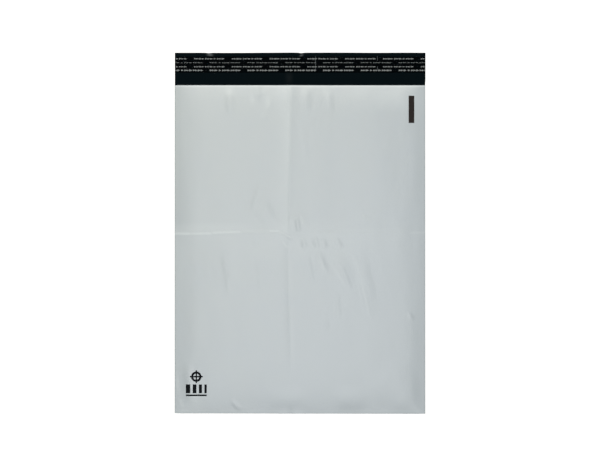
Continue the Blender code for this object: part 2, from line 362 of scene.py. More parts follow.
print(f"the walls stand {float(pillow(np.array(0.0), np.array(0.0))) / MM:.2f} mm apart in the middle")

# %% [markdown]
# The fold marks, the wrinkles and the unevenness ride on that pillow, and die away towards the seams,
# where the film is held. A weld slants down to its outer edge and holds both walls up a little just
# inside it.

# %% The walls with their wrinkles
NARROW_ENDS = 0.35
SEAM_HOLD = 2.5
WELD_STEP = 1.0 * MM
WELD_SETTLING = 45 * MM
MOUTH_SETTLING = 6 * MM


def pocket_gap(x, y):
    """The air between the two walls, once they are folded and wrinkled."""
    loft = pillow(x, y)
    folds = front_fold_height(x, y) - fold_height(x, y)
    broad = stroke_height(x, y, BROAD_WRINKLES) * MM
    narrow = stroke_height(x, y, NARROW_WRINKLES, NARROW_ENDS) * MM
    uneven = folds + broad + narrow + slack(x, y, FRONT_LAYER) + crumple(x, y)
    held = smooth(SEAM_HOLD * loft / LOFT)
    return np.maximum(loft + uneven * held, 0) * smooth((WELD_X - np.abs(x)) / WELD_STEP) + SEAM_GAP


def weld_lift(x, y):
    """How far the welds, which slant down to their outer edge, hold the walls up just inside them."""
    slope = 2 * LOFT / np.where(x < 0, left_roll(y), RIGHT_ROLL)
    from_side = HALF_WIDTH - np.abs(x)
    settled = 1 - smooth((from_side - SIDE_WELD) / WELD_SETTLING)
    in_pocket = 1 - smooth((y - MOUTH_Y) / MOUTH_SETTLING)
    return slope * np.minimum(from_side, SIDE_WELD) * settled * in_pocket


def back_height(x, y):
    """The underside of the back wall."""
    return fold_height(x, y) + weld_lift(x, y)


def front_height(x, y):
    """The upper side of the front wall."""
    return back_height(x, y) + 2 * FILM_GAUGE + pocket_gap(x, y)


middle = front_height(np.array([60 * MM]), np.array([80 * MM]))[0]
print(f"the front wall is {middle / MM:.2f} mm above the table in an open stretch")

# %% [markdown]
# ## The film as one folded sheet
#
# The bag could be two panels, a lip and a hem, but it is one sheet, and one sheet is also the easiest
# mesh to make. A grid of points runs down the front wall, round the bottom fold, up the back wall and out
# along the lip. Its lines stand close together at the fold marks and the edges, where the film turns
# quickly, and further apart on the plain stretches. A Solidify modifier then gives the sheet its gauge.

# %% Lines of the grid
CLOSE_CELL = 0.8 * MM
WIDENING = 0.16
FRONT_CELL = 2.4 * MM
BACK_CLOSE_CELL = 3.0 * MM
BACK_CELL = 16 * MM
LIP_CELL = 3.2 * MM


def stations(low, high, closest, widest, close_at):
    """Positions from low to high, closest apart near the places in close_at and widest apart elsewhere."""
    placed = [low]
    while placed[-1] < high:
        nearest = min(abs(placed[-1] - close) for close in close_at)
        placed.append(placed[-1] + min(widest, closest + WIDENING * nearest))
    stretch = (high - low) / (placed[-1] - low)
    return np.array([low + (position - low) * stretch for position in placed])


wall_ends = (FOLD_LINE_Y, CROSS_FOLD_Y, MOUTH_Y)
across_places = (-HALF_WIDTH, LONG_FOLD_X, HALF_WIDTH)
columns = stations(-HALF_WIDTH, HALF_WIDTH, CLOSE_CELL, FRONT_CELL, across_places)
front_rows = stations(FOLD_LINE_Y, MOUTH_Y, CLOSE_CELL, FRONT_CELL, wall_ends)
back_rows = stations(FOLD_LINE_Y, MOUTH_Y, BACK_CLOSE_CELL, BACK_CELL, wall_ends)
lip_rows = stations(MOUTH_Y, LIP_EDGE_Y, CLOSE_CELL, LIP_CELL, (MOUTH_Y, LIP_EDGE_Y))[1:]
print(f"{len(columns)} columns, {len(front_rows)} front, {len(back_rows)} back and {len(lip_rows)} lip rows")

# %% [markdown]
# Cut edges are never ruler-straight in thin film. The lip's free edge wanders by a fraction of a
# millimetre, has two small nicks where it was bent, and spreads slightly past the weld on the right,
# where nothing gathers it.

# %% The lip's free edge
EDGE_WANDER = 0.35 * MM
EDGE_STRETCH = 1.1 * MM
WANDER_LENGTH = 55 * MM
WANDER_LAYER = 7.5
LIP_SPREAD = 0.5 * MM
SPREAD_LENGTH = 0.2 * LIP_LENGTH
# Each nick's place across the lip, reach and depth, in millimetres.
NICKS = [(-134, 8, 0.9), (2, 6, 1.3)]


def lip_plan(x, y):
    """Where a point of the lip lies in plan, once its edge has wandered and spread."""
    outward = smooth((y - MOUTH_Y) / LIP_LENGTH)
    wander = noise_field(x, np.full_like(y, WANDER_LAYER), WANDER_LENGTH, 1.0, 0)
    nicked = sum(depth * MM * ridge(x - place * MM, reach * MM) for place, reach, depth in NICKS)
    spread = LIP_SPREAD * smooth((y - MOUTH_Y) / SPREAD_LENGTH) * smooth(x / HALF_WIDTH)
    return x + spread, y + outward**3 * (EDGE_STRETCH + EDGE_WANDER * wander - nicked)


print(f"the lip's edge spreads {LIP_SPREAD / MM:.1f} mm past the weld")

# %% [markdown]
# The lip is a single layer that lies on the table. It lifts a little where it was nicked, and its slack
# is its own.

# %% Height of the lip
NICK_LIFT = 1.6 * MM
LIP_SLACK_SHARE = 1.5
LIP_SLACK_FROM_MOUTH = 10 * MM


def lip_height(x, y):
    """The underside of the lip."""
    outward = smooth((y - MOUTH_Y) / LIP_LENGTH)
    lift = sum(NICK_LIFT * ridge(x - place * MM, reach * MM) for place, reach, depth in NICKS)
    uneven = LIP_SLACK_SHARE * np.abs(slack(x, y, LIP_LAYER)) * smooth((y - MOUTH_Y) / LIP_SLACK_FROM_MOUTH)
    return back_height(x, y) + lift * outward**4 + uneven


print(f"a nick lifts the edge by {NICK_LIFT / MM:.1f} mm")

# %% [markdown]
# Now the rows are joined in the order of the web: the front wall from the mouth down, half a circle at
# the fold, the back wall up, and the lip. Faces built in that order all face out of the bag. The web was
# folded a trace out of square, so the fold creeps down by 0.2 mm at the left and by 0.9 mm at the right.

# %% Points of the web
FOLD_STEPS = 8
FOLD_SLANT_LEFT = 0.2 * MM
FOLD_SLANT_RIGHT = 0.9 * MM
FOLD_SLANT_REACH = 18 * MM


def fold_slant(x, y):
    """How far the film has crept down at the bottom fold, which isn't quite square to the sides."""
    creep = FOLD_SLANT_LEFT + (FOLD_SLANT_RIGHT - FOLD_SLANT_LEFT) * (x + HALF_WIDTH) / (2 * HALF_WIDTH)
    return creep * (1 - smooth((y - FOLD_LINE_Y) / FOLD_SLANT_REACH))


def web_points():
    """The grid of points along the web, as rows, with each row's distance from the mouth's front edge."""
    front_x, front_y = np.meshgrid(columns, front_rows[::-1])
    front = np.dstack([front_x, front_y - fold_slant(front_x, front_y), front_height(front_x, front_y)])
    back_x, back_y = np.meshgrid(columns, back_rows)
    back = np.dstack([back_x, back_y - fold_slant(back_x, back_y), back_height(back_x, back_y)])
    lip_x, lip_y = np.meshgrid(columns, lip_rows)
    lip = np.dstack([*lip_plan(lip_x, lip_y), lip_height(lip_x, lip_y)])
    radius = (front[-1, :, 2] - back[0, :, 2]) / 2
    fold = []
    for step in range(1, FOLD_STEPS):
        angle = math.pi * step / FOLD_STEPS
        y = front[-1, :, 1] - radius * math.sin(angle)
        fold.append(np.column_stack([columns, y, back[0, :, 2] + radius * (1 + math.cos(angle))]))
    rows = np.concatenate([front, np.array(fold), back, lip])
    middle_column = rows[:, len(columns) // 2]
    strides = np.linalg.norm(np.diff(middle_column, axis=0), axis=1)
    return rows, np.concatenate([[0.0], np.cumsum(strides)])


web, web_distance = web_points()

# %% [markdown]
# `grid_mesh` turns the rows of points into quads. Neighbouring quads share their points, which is what
# lets the film shade as one smooth sheet.

# %% Rows of points into a mesh
def put_in_scene(name, data):
    """An object with this mesh, curve, lamp or camera in it."""
    made = bpy.data.objects.new(name, data)
    bpy.context.scene.collection.objects.link(made)
    return made


def grid_mesh(name, rows):
    """A mesh object from rows of points, with quads between neighbouring rows."""
    count, width = rows.shape[:2]
    index = np.arange(count * width).reshape(count, width)
    quads = np.dstack([index[:-1, :-1], index[1:, :-1], index[1:, 1:], index[:-1, 1:]]).reshape(-1, 4)
    mesh = bpy.data.meshes.new(name)
    mesh.from_pydata(rows.reshape(-1, 3).tolist(), [], quads.tolist())
    mesh.shade_smooth()
    return put_in_scene(name, mesh)


film = grid_mesh("mailer_film", web)
print(len(film.data.polygons), "quads in the film")

# %% [markdown]
# Each point keeps its place on the flat sheet as its UV, in metres. A texture that reads it is laid on
# the film as it was before it was folded, and so runs on round the bottom fold.

# %% Flat-sheet UVs
flat_u = np.tile(columns, web.shape[0])
flat_v = np.repeat(web_distance, web.shape[1])
corner_vertex = np.zeros(len(film.data.loops), int)
film.data.loops.foreach_get("vertex_index", corner_vertex)
sheet_uv = film.data.uv_layers.new(name="flat_sheet")
sheet_uv.data.foreach_set("uv", np.column_stack([flat_u, flat_v])[corner_vertex].ravel())
print("UVs run to", round(float(flat_v.max()), 3), "m along the web")

# %% [markdown]
# Polythene whitens where it has been strained, and the fold lines carry a little of that, but most of the
# pale places here are painted highlights. The long fold's left flank is painted paler over a finger's
# width, as light falling on a slope. The cross fold has a sharp pale line at its left end and little at
# its right, part whitened film and part painted highlight, and the cut edge at the mouth has a painted
# highlight. The pale places are strokes too, with strengths from 0 to 1. The sharp ones begin and end
# quickly, and the bands, painted highlights on slopes and on the flanks of wrinkles, fade over their whole
# length. The black lip has three painted highlights, two of them at its nicks.

# %% Where the film has whitened, and its painted highlights
# The flank, the rim and most bands are painted highlights, and the lines are part whitened film and part
# painted highlight.
PALE_FLANK = 0.31
PALE_FLANK_REACH = 27 * MM
PALE_PEAK_FROM_LINE = 4 * MM
PALE_LINE_ENDS = 0.12
PALE_LINES = [
    ((-192, -0.6), (-160, -0.6), 0.66, 3.0),
    ((-164, -0.6), (-128, -0.3), 0.46, 3.0),
    ((-132, 0.8), (-84, 2.4), 0.40, 2.8),
    ((-88, 3.0), (-42, 3.4), 0.12, 4.0),
    ((-46, 3.6), (-29, 3.4), 0.42, 2.4),
    ((-31, 3.0), (-12, -7.0), 0.24, 2.6),
    ((160, 1), (190, 1), 0.18, 3.0),
    ((91, 27), (101, 22), 0.14, 2.4),
    ((1, 27), (4, 13), 0.20, 2.6),
    ((-26, -12), (-17, -22), 0.22, 3.4),
    ((-230, -260.8), (230, -260.8), 0.14, 1.8),
]
PALE_BANDS = [
    ((-230, 5), (-20, 8), 0.22, 13),
    ((-230, -6), (-40, -5), 0.14, 12),
    ((-230, -12), (230, -10), 0.10, 44),
    ((-10, 3), (200, 3), 0.12, 10),
    ((-15, -10), (-13, -110), 0.08, 5),
    ((-12, -90), (-10, -215), 0.10, 4),
    ((-182, -196), (-178, -244), 0.30, 4),
    ((-179, -238), (-171, -260), 0.34, 4),
    ((-72, 208), (-68, 184), 0.20, 6),
    ((-49, 208), (-46, 178), 0.20, 5),
    ((36, 222), (35, 194), 0.24, 6),
    ((70, 200), (214, 200), 0.28, 26),
    ((42, -36), (74, -92), 0.14, 3.5),
    ((76, -18), (91, -72), 0.14, 3.5),
    ((86, -54), (107, -134), 0.18, 3.5),
    ((28, -34), (39, -64), 0.14, 3.0),
    ((-116, -30), (-107, -72), 0.14, 3.0),
    ((-109, -56), (-103, -96), 0.14, 3.0),
]
PALE_RIM = 0.8
PALE_RIM_FROM_EDGE = 1.8 * MM
PALE_RIM_REACH = 1.6 * MM


def whitening_and_highlight(x, y):
    """How pale the front wall is, from 0 to 1: whitened fold lines and painted highlights."""
    from_peak = from_long_fold(x, y) + PALE_PEAK_FROM_LINE
    flank = ridge(np.minimum(from_peak, 0), PALE_FLANK_REACH) * (1 - smooth(from_peak / PALE_PEAK_FROM_LINE))
    rim = PALE_RIM * swell(MOUTH_Y - PALE_RIM_FROM_EDGE - y, PALE_RIM_REACH)
    lines = stroke_height(x, y, PALE_LINES, PALE_LINE_ENDS)
    bands = stroke_height(x, y, PALE_BANDS)
    return np.maximum.reduce([PALE_FLANK * flank * above_crossing(y), lines, rim]) + bands


# Painted highlights on the black lip: two at its nicks and a faint one along the long fold.
LIP_HIGHLIGHTS = [
    ((-139, 264.0), (-126, 261.6), 0.44, 3.0),
    ((-2, 258), (6, 265), 0.34, 2.4),
    ((-16, 216), (-16, 242), 0.02, 8),
]

row_number = np.repeat(np.arange(web.shape[0]), web.shape[1])
on_front = row_number < len(front_rows)
on_lip = row_number >= web.shape[0] - len(lip_rows)
web_x, web_y = web[:, :, 0].ravel(), web[:, :, 1].ravel()
lip_highlight = stroke_height(web_x, web_y, LIP_HIGHLIGHTS)
pale = np.where(on_front, whitening_and_highlight(web_x, web_y), np.where(on_lip, lip_highlight, 0.0))
# One attribute holds the front wall's whitened lines and painted highlights, and the lip's painted
# highlights.
fold_mark_and_highlight = film.data.attributes.new("fold_mark_and_highlight", "FLOAT", "POINT")
fold_mark_and_highlight.data.foreach_set("value", pale)
print(f"{int((pale > 0).sum())} points have whitened")

# %% [markdown]
# So far the sheet has no thickness. The Solidify modifier gives it its gauge on the inner side, and its
# material offset puts the second material there: grey outside and black inside, as the film was
# co-extruded.

# %% Give the sheet its gauge
gauge = film.modifiers.new("film gauge", "SOLIDIFY")
gauge.thickness = FILM_GAUGE
gauge.offset = -1.0
gauge.material_offset = 1
up = film.data.polygons[0].normal.z
print("the first quad of the front wall faces", "up" if up > 0 else "down")

# %% [markdown]
# ## Materials
#
# A colour picker shows sRGB, but Blender's shaders add light, which only works on linear values. One
# function turns the hex colours that follow into linear ones. A second adds a node with its settings and
# its links. What feeds a node and what feeds the shader is given in the same way, by `feed`.

# %% Helpers for materials
def linear(hex_colour):
    """A linear RGBA colour from an sRGB hex one."""
    channels = [int(hex_colour[i : i + 2], 16) / 255 for i in (1, 3, 5)]
    return (*[c / 12.92 if c <= 0.04045 else ((c + 0.055) / 1.055) ** 2.4 for c in channels], 1.0)


def feed(material, node, inputs):
    """Gives each socket its value, or the output that feeds it."""
    for socket, value in inputs.items():
        if isinstance(value, bpy.types.NodeSocket):
            material.node_tree.links.new(value, node.inputs[socket])
        else:
            node.inputs[socket].default_value = value


def add_node(material, kind, inputs=None, **settings):
    """Adds a node with these settings as its properties, and feeds its inputs."""
    node = material.node_tree.nodes.new(kind)
    for name, value in settings.items():
        setattr(node, name, value)
    feed(material, node, inputs or {})
    return node


def new_material(name):
    """An empty node material with a Principled shader, and that shader."""
    material = bpy.data.materials.new(name)
    material.use_nodes = True
    return material, material.node_tree.nodes["Principled BSDF"]


print("mid grey #808080 is", round(linear("#808080")[0], 3), "in linear light")

# %% [markdown]
# Five kinds of node turn up again and again: the place on the object, noise, a mix of two colours, a value
# spread over a range, and a bump. Each gets a function that returns its output, which keeps a material
# down to the few lines that matter.

# %% The nodes that most materials need
def object_place(material):
    """The place on the object, in metres."""
    return add_node(material, "ShaderNodeTexCoord").outputs["Object"]


def noise_texture(material, place, scale, detail):
    """Noise from 0 to 1, with as many cells to a unit of its place as the scale says."""
    inputs = {"Vector": place, "Scale": scale, "Detail": detail}
    return add_node(material, "ShaderNodeTexNoise", inputs).outputs["Fac"]


def mix_colours(material, share, first, second):
    """The first colour at a share of 0, and the second at 1."""
    inputs = {"Factor": share, 6: first, 7: second}
    return add_node(material, "ShaderNodeMix", inputs, data_type="RGBA").outputs[2]


def spread(material, value, low, high):
    """A value from 0 to 1, spread from low to high."""
    inputs = {"Value": value, "To Min": low, "To Max": high}
    return add_node(material, "ShaderNodeMapRange", inputs).outputs["Result"]


def bump_normal(material, height, relief, strength):
    """The normals of a face that rises by its relief, in metres, for each 1 of this height."""
    inputs = {"Height": height, "Strength": strength, "Distance": relief}
    return add_node(material, "ShaderNodeBump", inputs).outputs["Normal"]


print("five kinds of node have a function of their own")

# %% [markdown]
# ### Grey polythene, blown and co-extruded
#
# The outside is low-density polythene filled with a pale grey pigment. Blown film has a satin face: it is
# smooth to the touch, but its crystals scatter light a little, and faint die lines run along the web. The
# pigment isn't perfectly even either. IOR 1.51 is polythene's own, and a roughness of about 0.3 gives the
# broad, weak sheen that brightens a slope towards a lamp. The specular level is matched, a little over
# the usual 0.5.

# %% Grey polythene
FILM_GREY = "#B7BFC1"
# The paler grey of the whitened fold lines and the painted highlights.
MARK_AND_HIGHLIGHT_WHITE = "#D0D8DA"
POLYTHENE_IOR = 1.51
DIE_LINE_MM = 1.6
DIE_LINE_LENGTH_MM = 90.0
GRAIN_MM = 2.2
MOTTLE_MM = 34.0

grey_film, shader = new_material("polythene_grey_blown")
sheet = add_node(grey_film, "ShaderNodeUVMap", uv_map="flat_sheet").outputs["UV"]
die_scale = (1000 / DIE_LINE_MM, 1000 / DIE_LINE_LENGTH_MM, 1)
die_place = add_node(grey_film, "ShaderNodeMapping", {"Vector": sheet, "Scale": die_scale}).outputs["Vector"]
die_lines = noise_texture(grey_film, die_place, 1.0, detail=2.0)
grain = noise_texture(grey_film, sheet, 1000 / GRAIN_MM, detail=3.0)
mottle = noise_texture(grey_film, sheet, 1000 / MOTTLE_MM, detail=2.0)
print("grain", GRAIN_MM, "mm, mottle", MOTTLE_MM, "mm")

# %% [markdown]
# Away from the mouth and to the right the colour is painted a trace cooler and darker, as shade.
# A dot product turns a place on the sheet into that drift, and the mottle is added to it. The attribute
# read below then mixes in a paler grey, for the whitened fold lines and the painted highlights. Grain and
# die lines go to roughness and bump. They are drawn far coarser than the real ones, which are finer than
# a tenth of a millimetre and would never show at this distance.

# %% Colour, roughness and bump of the grey film
# Painted shade: the film turns towards this cooler, darker grey away from the mouth and to the right.
FILM_GREY_SHADED = "#B3BCC2"
DRIFT_PER_METRE = (2.2, 1.5, 0.0)
MOTTLE_SHARE = 0.7
GREY_ROUGHNESS = (0.26, 0.34)
GREY_SPECULAR = 0.72
GREY_RELIEF = 0.012 * MM

drift = add_node(grey_film, "ShaderNodeVectorMath", {0: sheet, 1: DRIFT_PER_METRE}, operation="DOT_PRODUCT")
cooling = {0: mottle, 1: MOTTLE_SHARE, 2: drift.outputs["Value"]}
cooled = add_node(grey_film, "ShaderNodeMath", cooling, operation="MULTIPLY_ADD").outputs["Value"]
# The mottle is the film's own tone, and the drift towards the second grey is painted shade.
pigment_and_shade = mix_colours(grey_film, cooled, linear(FILM_GREY), linear(FILM_GREY_SHADED))
# The attribute mixes in the paler grey: whitened fold lines and painted highlights.
mark = add_node(grey_film, "ShaderNodeAttribute", attribute_name="fold_mark_and_highlight").outputs["Fac"]
relief = add_node(grey_film, "ShaderNodeMath", {0: grain, 1: die_lines}, operation="ADD").outputs["Value"]
feed(grey_film, shader, {
    "Base Color": mix_colours(grey_film, mark, pigment_and_shade, linear(MARK_AND_HIGHLIGHT_WHITE)),
    "Roughness": spread(grey_film, grain, *GREY_ROUGHNESS),
    "Normal": bump_normal(grey_film, relief, GREY_RELIEF, strength=0.5),
    "IOR": POLYTHENE_IOR,
    "Specular IOR Level": GREY_SPECULAR,
})
print("grey film:", len(grey_film.node_tree.nodes), "nodes")

# %% [markdown]
# ### Black polythene
#
# The inside of the same film is filled with carbon black, which hides what is posted. It faces up on the
# lip. Carbon black takes nearly all the light. Its grain is rougher than the grey side's, and hardly any
# sheen reaches a camera overhead, so the specular level is matched far below the usual 0.5. Grey painted
# highlights lie on the lip at its nicks and along the long fold.

# %% Black polythene
FILM_BLACK = "#030C10"
# The grey of the lip's painted highlights.
LIP_HIGHLIGHT_GREY = "#8C9397"
BLACK_ROUGHNESS = (0.40, 0.55)
BLACK_SPECULAR = 0.01
BLACK_RELIEF = 0.02 * MM

black_film, shader = new_material("polythene_black_blown")
sheet = add_node(black_film, "ShaderNodeUVMap", uv_map="flat_sheet").outputs["UV"]
grain = noise_texture(black_film, sheet, 1000 / GRAIN_MM, detail=3.0)
mark = add_node(black_film, "ShaderNodeAttribute", attribute_name="fold_mark_and_highlight").outputs["Fac"]
feed(black_film, shader, {
    "Base Color": mix_colours(black_film, mark, linear(FILM_BLACK), linear(LIP_HIGHLIGHT_GREY)),
    "Roughness": spread(black_film, grain, *BLACK_ROUGHNESS),
    "Normal": bump_normal(black_film, grain, BLACK_RELIEF, strength=0.4),
    "IOR": POLYTHENE_IOR,
    "Specular IOR Level": BLACK_SPECULAR,
})

film.data.materials.append(grey_film)
film.data.materials.append(black_film)
print("black film:", len(black_film.node_tree.nodes), "nodes")

# %% [markdown]
# ### Ink
#
# The bag is printed by flexography, from a soft plate, with a dark ink that dries to a dull and slightly
# uneven film. Where the plate pressed less, the ink is thinner and a little lighter, in patches a
# millimetre or two wide.

# %% Flexographic ink
INK_BROWN = "#292423"
INK_BLACK = "#0B1013"
INK_PATCH_MM = 1.8
THIN_INK_GAIN = 1.35
THIN_INK_LIFT = 0.004
INK_ROUGHNESS = 0.55
INK_SPECULAR = 0.03


def ink_material(name, hex_colour):
    """Dull ink that a soft printing plate has laid down a little unevenly."""
    material, shader = new_material(name)
    patches = noise_texture(material, object_place(material), 1000 / INK_PATCH_MM, detail=3.0)
    thin = [channel * THIN_INK_GAIN + THIN_INK_LIFT for channel in linear(hex_colour)[:3]] + [1.0]
    feed(material, shader, {
        "Base Color": mix_colours(material, patches, linear(hex_colour), thin),
        "Roughness": INK_ROUGHNESS,
        "Specular IOR Level": INK_SPECULAR,
    })
    return material


brown_ink = ink_material("flexo_ink_brown_black", INK_BROWN)
black_ink = ink_material("flexo_ink_blue_black", INK_BLACK)
print("inks:", brown_ink.name, black_ink.name)

# %% [markdown]
# ## Printing on the film
#
# Ink could be painted into the film's material, but a shape keeps a crisp edge at any distance. Each
# printed shape is a patch of quads, described by a function from the unit square to the table, draped on
# the film and given a hair of thickness. That serves bars, squares and rings alike.

# %% Draped patches
INK_LIFT = 0.04 * MM
INK_DEPTH = 0.015 * MM
SAME_POINT = 0.001 * MM


def draped_patch(shape, steps_u, steps_v, height_at, lift, depth):
    """A closed thin solid as vertices and faces. shape(u, v) gives a place for each u and v from 0 to 1."""
    u, v = np.meshgrid(np.linspace(0, 1, steps_u + 1), np.linspace(0, 1, steps_v + 1))
    x, y = shape(u, v)
    base = height_at(x, y) + lift
    layers = [np.dstack([x, y, base + depth]), np.dstack([x, y, base])]
    points = np.concatenate([layer.reshape(-1, 3) for layer in layers])
    index = np.arange((steps_u + 1) * (steps_v + 1)).reshape(steps_v + 1, steps_u + 1)
    top = np.dstack([index[:-1, :-1], index[:-1, 1:], index[1:, 1:], index[1:, :-1]]).reshape(-1, 4)
    under = top[:, ::-1] + index.size
    border = [*index[0, :-1], *index[:-1, -1], *index[-1, :0:-1], *index[:0:-1, 0]]
    walls = [[a, a + index.size, b + index.size, b] for a, b in zip(border, border[1:] + border[:1])]
    return points.tolist(), top.tolist() + under.tolist() + walls


def print_piece(name, patches, material):
    """One object from several draped patches."""
    vertices, faces = [], []
    for points, quads in patches:
        faces += [[corner + len(vertices) for corner in quad] for quad in quads]
        vertices += points
    mesh = bpy.data.meshes.new(name)
    mesh.from_pydata(vertices, [], faces)
    mesh.materials.append(material)
    bm = bmesh.new()
    bm.from_mesh(mesh)
    bmesh.ops.remove_doubles(bm, verts=bm.verts, dist=SAME_POINT)
    bmesh.ops.recalc_face_normals(bm, faces=bm.faces)
    bm.to_mesh(mesh)
    bm.free()
    return put_in_scene(name, mesh)


def bar(low_x, high_x, low_y, high_y):
    """A rectangle, as a shape for a patch."""
    return lambda u, v: (low_x + (high_x - low_x) * u, low_y + (high_y - low_y) * v)


def ring(centre_x, centre_y, inner, outer):
    """A ring, as a shape for a patch."""

    def shape(u, v):
        radius = inner + (outer - inner) * (1 - v)
        angle = 2 * math.pi * u
        return centre_x + radius * np.cos(angle), centre_y + radius * np.sin(angle)

    return shape


print("patches ready")

# %% [markdown]
# ### The eye mark
#
# The bar near the mouth is an eye mark: a sensor on the bag machine watches for it and keeps print and
# cut in step.

# %% Print the eye mark
EYE_MARK_WIDTH = 8.3 * MM
EYE_MARK_LENGTH = 40.2 * MM
EYE_MARK_RIGHT_X = HALF_WIDTH - 16.1 * MM
EYE_MARK_TOP_Y = MOUTH_Y - 15.4 * MM

eye_shape = bar(
    EYE_MARK_RIGHT_X - EYE_MARK_WIDTH, EYE_MARK_RIGHT_X, EYE_MARK_TOP_Y - EYE_MARK_LENGTH, EYE_MARK_TOP_Y
)
eye_patch = draped_patch(eye_shape, 8, 40, front_height, INK_LIFT, INK_DEPTH)
eye_mark = print_piece("eye_mark", [eye_patch], brown_ink)
print(f"eye mark {EYE_MARK_WIDTH / MM:.1f} by {EYE_MARK_LENGTH / MM:.1f} mm")

# %% [markdown]
# ### The corner mark
#
# A printer checks the register and the weight of the ink with a small target and a row of control
# patches. A generic one stands in the bottom left corner, in the same ink: a ring with a cross-hair, over
# four patches that step down in size and a thin rule.

# %% Print the corner mark
CORNER_X = -HALF_WIDTH + 31.7 * MM
TARGET_Y = FOLD_Y + 54.0 * MM
TARGET_OUTER = 7.6 * MM
TARGET_INNER = 4.5 * MM
HAIR_LENGTH = 9.4 * MM
HAIR_WIDTH = 2.1 * MM
PATCH_Y = FOLD_Y + 29.6 * MM
PATCH_HEIGHT = 13.0 * MM
PATCH_WIDTHS = [6.5 * MM, 5.5 * MM, 4.5 * MM, 3.5 * MM]
PATCH_GAP = 3.6 * MM
RULE_Y = FOLD_Y + 25.4 * MM
RULE_HEIGHT = 2.36 * MM


def corner_shapes():
    """Each shape of the corner mark, with the steps across and along that its patch needs."""
    half_hair = HAIR_WIDTH / 2
    left_x, right_x = CORNER_X - half_hair, CORNER_X + half_hair
    low_y, high_y = TARGET_Y - half_hair, TARGET_Y + half_hair
    yield ring(CORNER_X, TARGET_Y, TARGET_INNER, TARGET_OUTER), 64, 3
    yield bar(left_x, right_x, TARGET_Y - HAIR_LENGTH, TARGET_Y + HAIR_LENGTH), 2, 16
    yield bar(CORNER_X - HAIR_LENGTH, left_x, low_y, high_y), 8, 2
    yield bar(right_x, CORNER_X + HAIR_LENGTH, low_y, high_y), 8, 2
    row_width = sum(PATCH_WIDTHS) + PATCH_GAP * (len(PATCH_WIDTHS) - 1)
    left = CORNER_X - row_width / 2
    yield bar(left, left + row_width, RULE_Y, RULE_Y + RULE_HEIGHT), 24, 2
    for width in PATCH_WIDTHS:
        yield bar(left, left + width, PATCH_Y, PATCH_Y + PATCH_HEIGHT), 6, 8
        left += width + PATCH_GAP


corner_patches = [
    draped_patch(shape, across, along, front_height, INK_LIFT, INK_DEPTH)
    for shape, across, along in corner_shapes()
]
corner_mark = print_piece("corner_mark", corner_patches, black_ink)
print(len(corner_patches), "shapes in the corner mark")

# %% [markdown]
# ## The side welds
#
# A hot knife cuts and welds the sides in one stroke, and the melted film draws back into a fine bead.
# Grey and black run together in it, so it is a little darker than the face, and glossier. A curve with a
# round bevel follows the edge of the film from the bottom fold to the mouth.

# %% Weld beads
BEAD_RADIUS = 0.2 * MM
BEAD_GREY = "#9DA4A7"
BEADING_MM = 2.5
BEADING_RELIEF = 0.05 * MM
BEAD_ROUGHNESS = 0.25

melted_film, shader = new_material("polythene_melted_bead")
beading = noise_texture(melted_film, object_place(melted_film), 1000 / BEADING_MM, detail=2.0)
feed(melted_film, shader, {
    "Base Color": linear(BEAD_GREY),
    "Roughness": BEAD_ROUGHNESS,
    "IOR": POLYTHENE_IOR,
    "Normal": bump_normal(melted_film, beading, BEADING_RELIEF, strength=0.5),
})


def weld_bead(name, edge_x):
    """The bead down one side of the pocket."""
    curve = bpy.data.curves.new(name, "CURVE")
    curve.dimensions = "3D"
    curve.bevel_depth = BEAD_RADIUS
    curve.bevel_resolution = 2
    curve.use_fill_caps = True
    spline = curve.splines.new("POLY")
    spline.points.add(len(front_rows) - 1)
    heights = back_height(np.full(len(front_rows), edge_x), front_rows) + FILM_GAUGE
    for point, y, z in zip(spline.points, front_rows - fold_slant(edge_x, front_rows), heights):
        point.co = (edge_x, y, max(z, BEAD_RADIUS), 1.0)
    curve.materials.append(melted_film)
    return put_in_scene(name, curve)


bead_left = weld_bead("weld_bead_left", -HALF_WIDTH)
bead_right = weld_bead("weld_bead_right", HALF_WIDTH)
print(f"two beads, {2 * BEAD_RADIUS / MM:.2f} mm thick")

# %% [markdown]
# ## The seal
#
# Across the lip lies a band of hot-melt adhesive, covered by a wider strip of clear film coated with
# silicone. Both lie on the lip, so both take their height from it. Hot-melt sets with a gentle ripple
# from the roller. Under the liner it shows as a deeper black, so its specular level is matched low, like
# the lip's.

# %% Hot-melt adhesive
SEAT_GAP = 0.05 * MM
GLUE_DEPTH = 0.06 * MM
GLUE_BLACK = "#020304"
RIPPLE_MM = 3.5
RIPPLE_RELIEF = 0.03 * MM
GLUE_ROUGHNESS = 0.3
GLUE_SPECULAR = 0.02

hot_melt, shader = new_material("hot_melt_adhesive")
ripple = noise_texture(hot_melt, object_place(hot_melt), 1000 / RIPPLE_MM, detail=2.0)
feed(hot_melt, shader, {
    "Base Color": linear(GLUE_BLACK),
    "Roughness": GLUE_ROUGHNESS,
    "Specular IOR Level": GLUE_SPECULAR,
    "Normal": bump_normal(hot_melt, ripple, RIPPLE_RELIEF, strength=0.4),
})


def lip_seat(x, y):
    """The height of the lip's upper face, for what lies on it."""
    return lip_height(x, y) + FILM_GAUGE + SEAT_GAP


glue_shape = bar(glue_low.x, glue_high.x, glue_low.y, glue_high.y)
glue_patch = draped_patch(glue_shape, 150, 6, lip_seat, 0, GLUE_DEPTH)
adhesive = print_piece("adhesive_band", [glue_patch], hot_melt)
print(f"adhesive {(glue_high.y - glue_low.y) / MM:.1f} mm wide")

# %% [markdown]
# ### The release liner
#
# The liner is polypropylene film, cast clear and coated with silicone. IOR 1.49 is polypropylene's own.
# What lies under it is black and nothing bright is mirrored in it, so its specular level is matched low
# too, and it shows mostly by its marks and by two fine kinks across it. Alpha lets the adhesive show
# through.

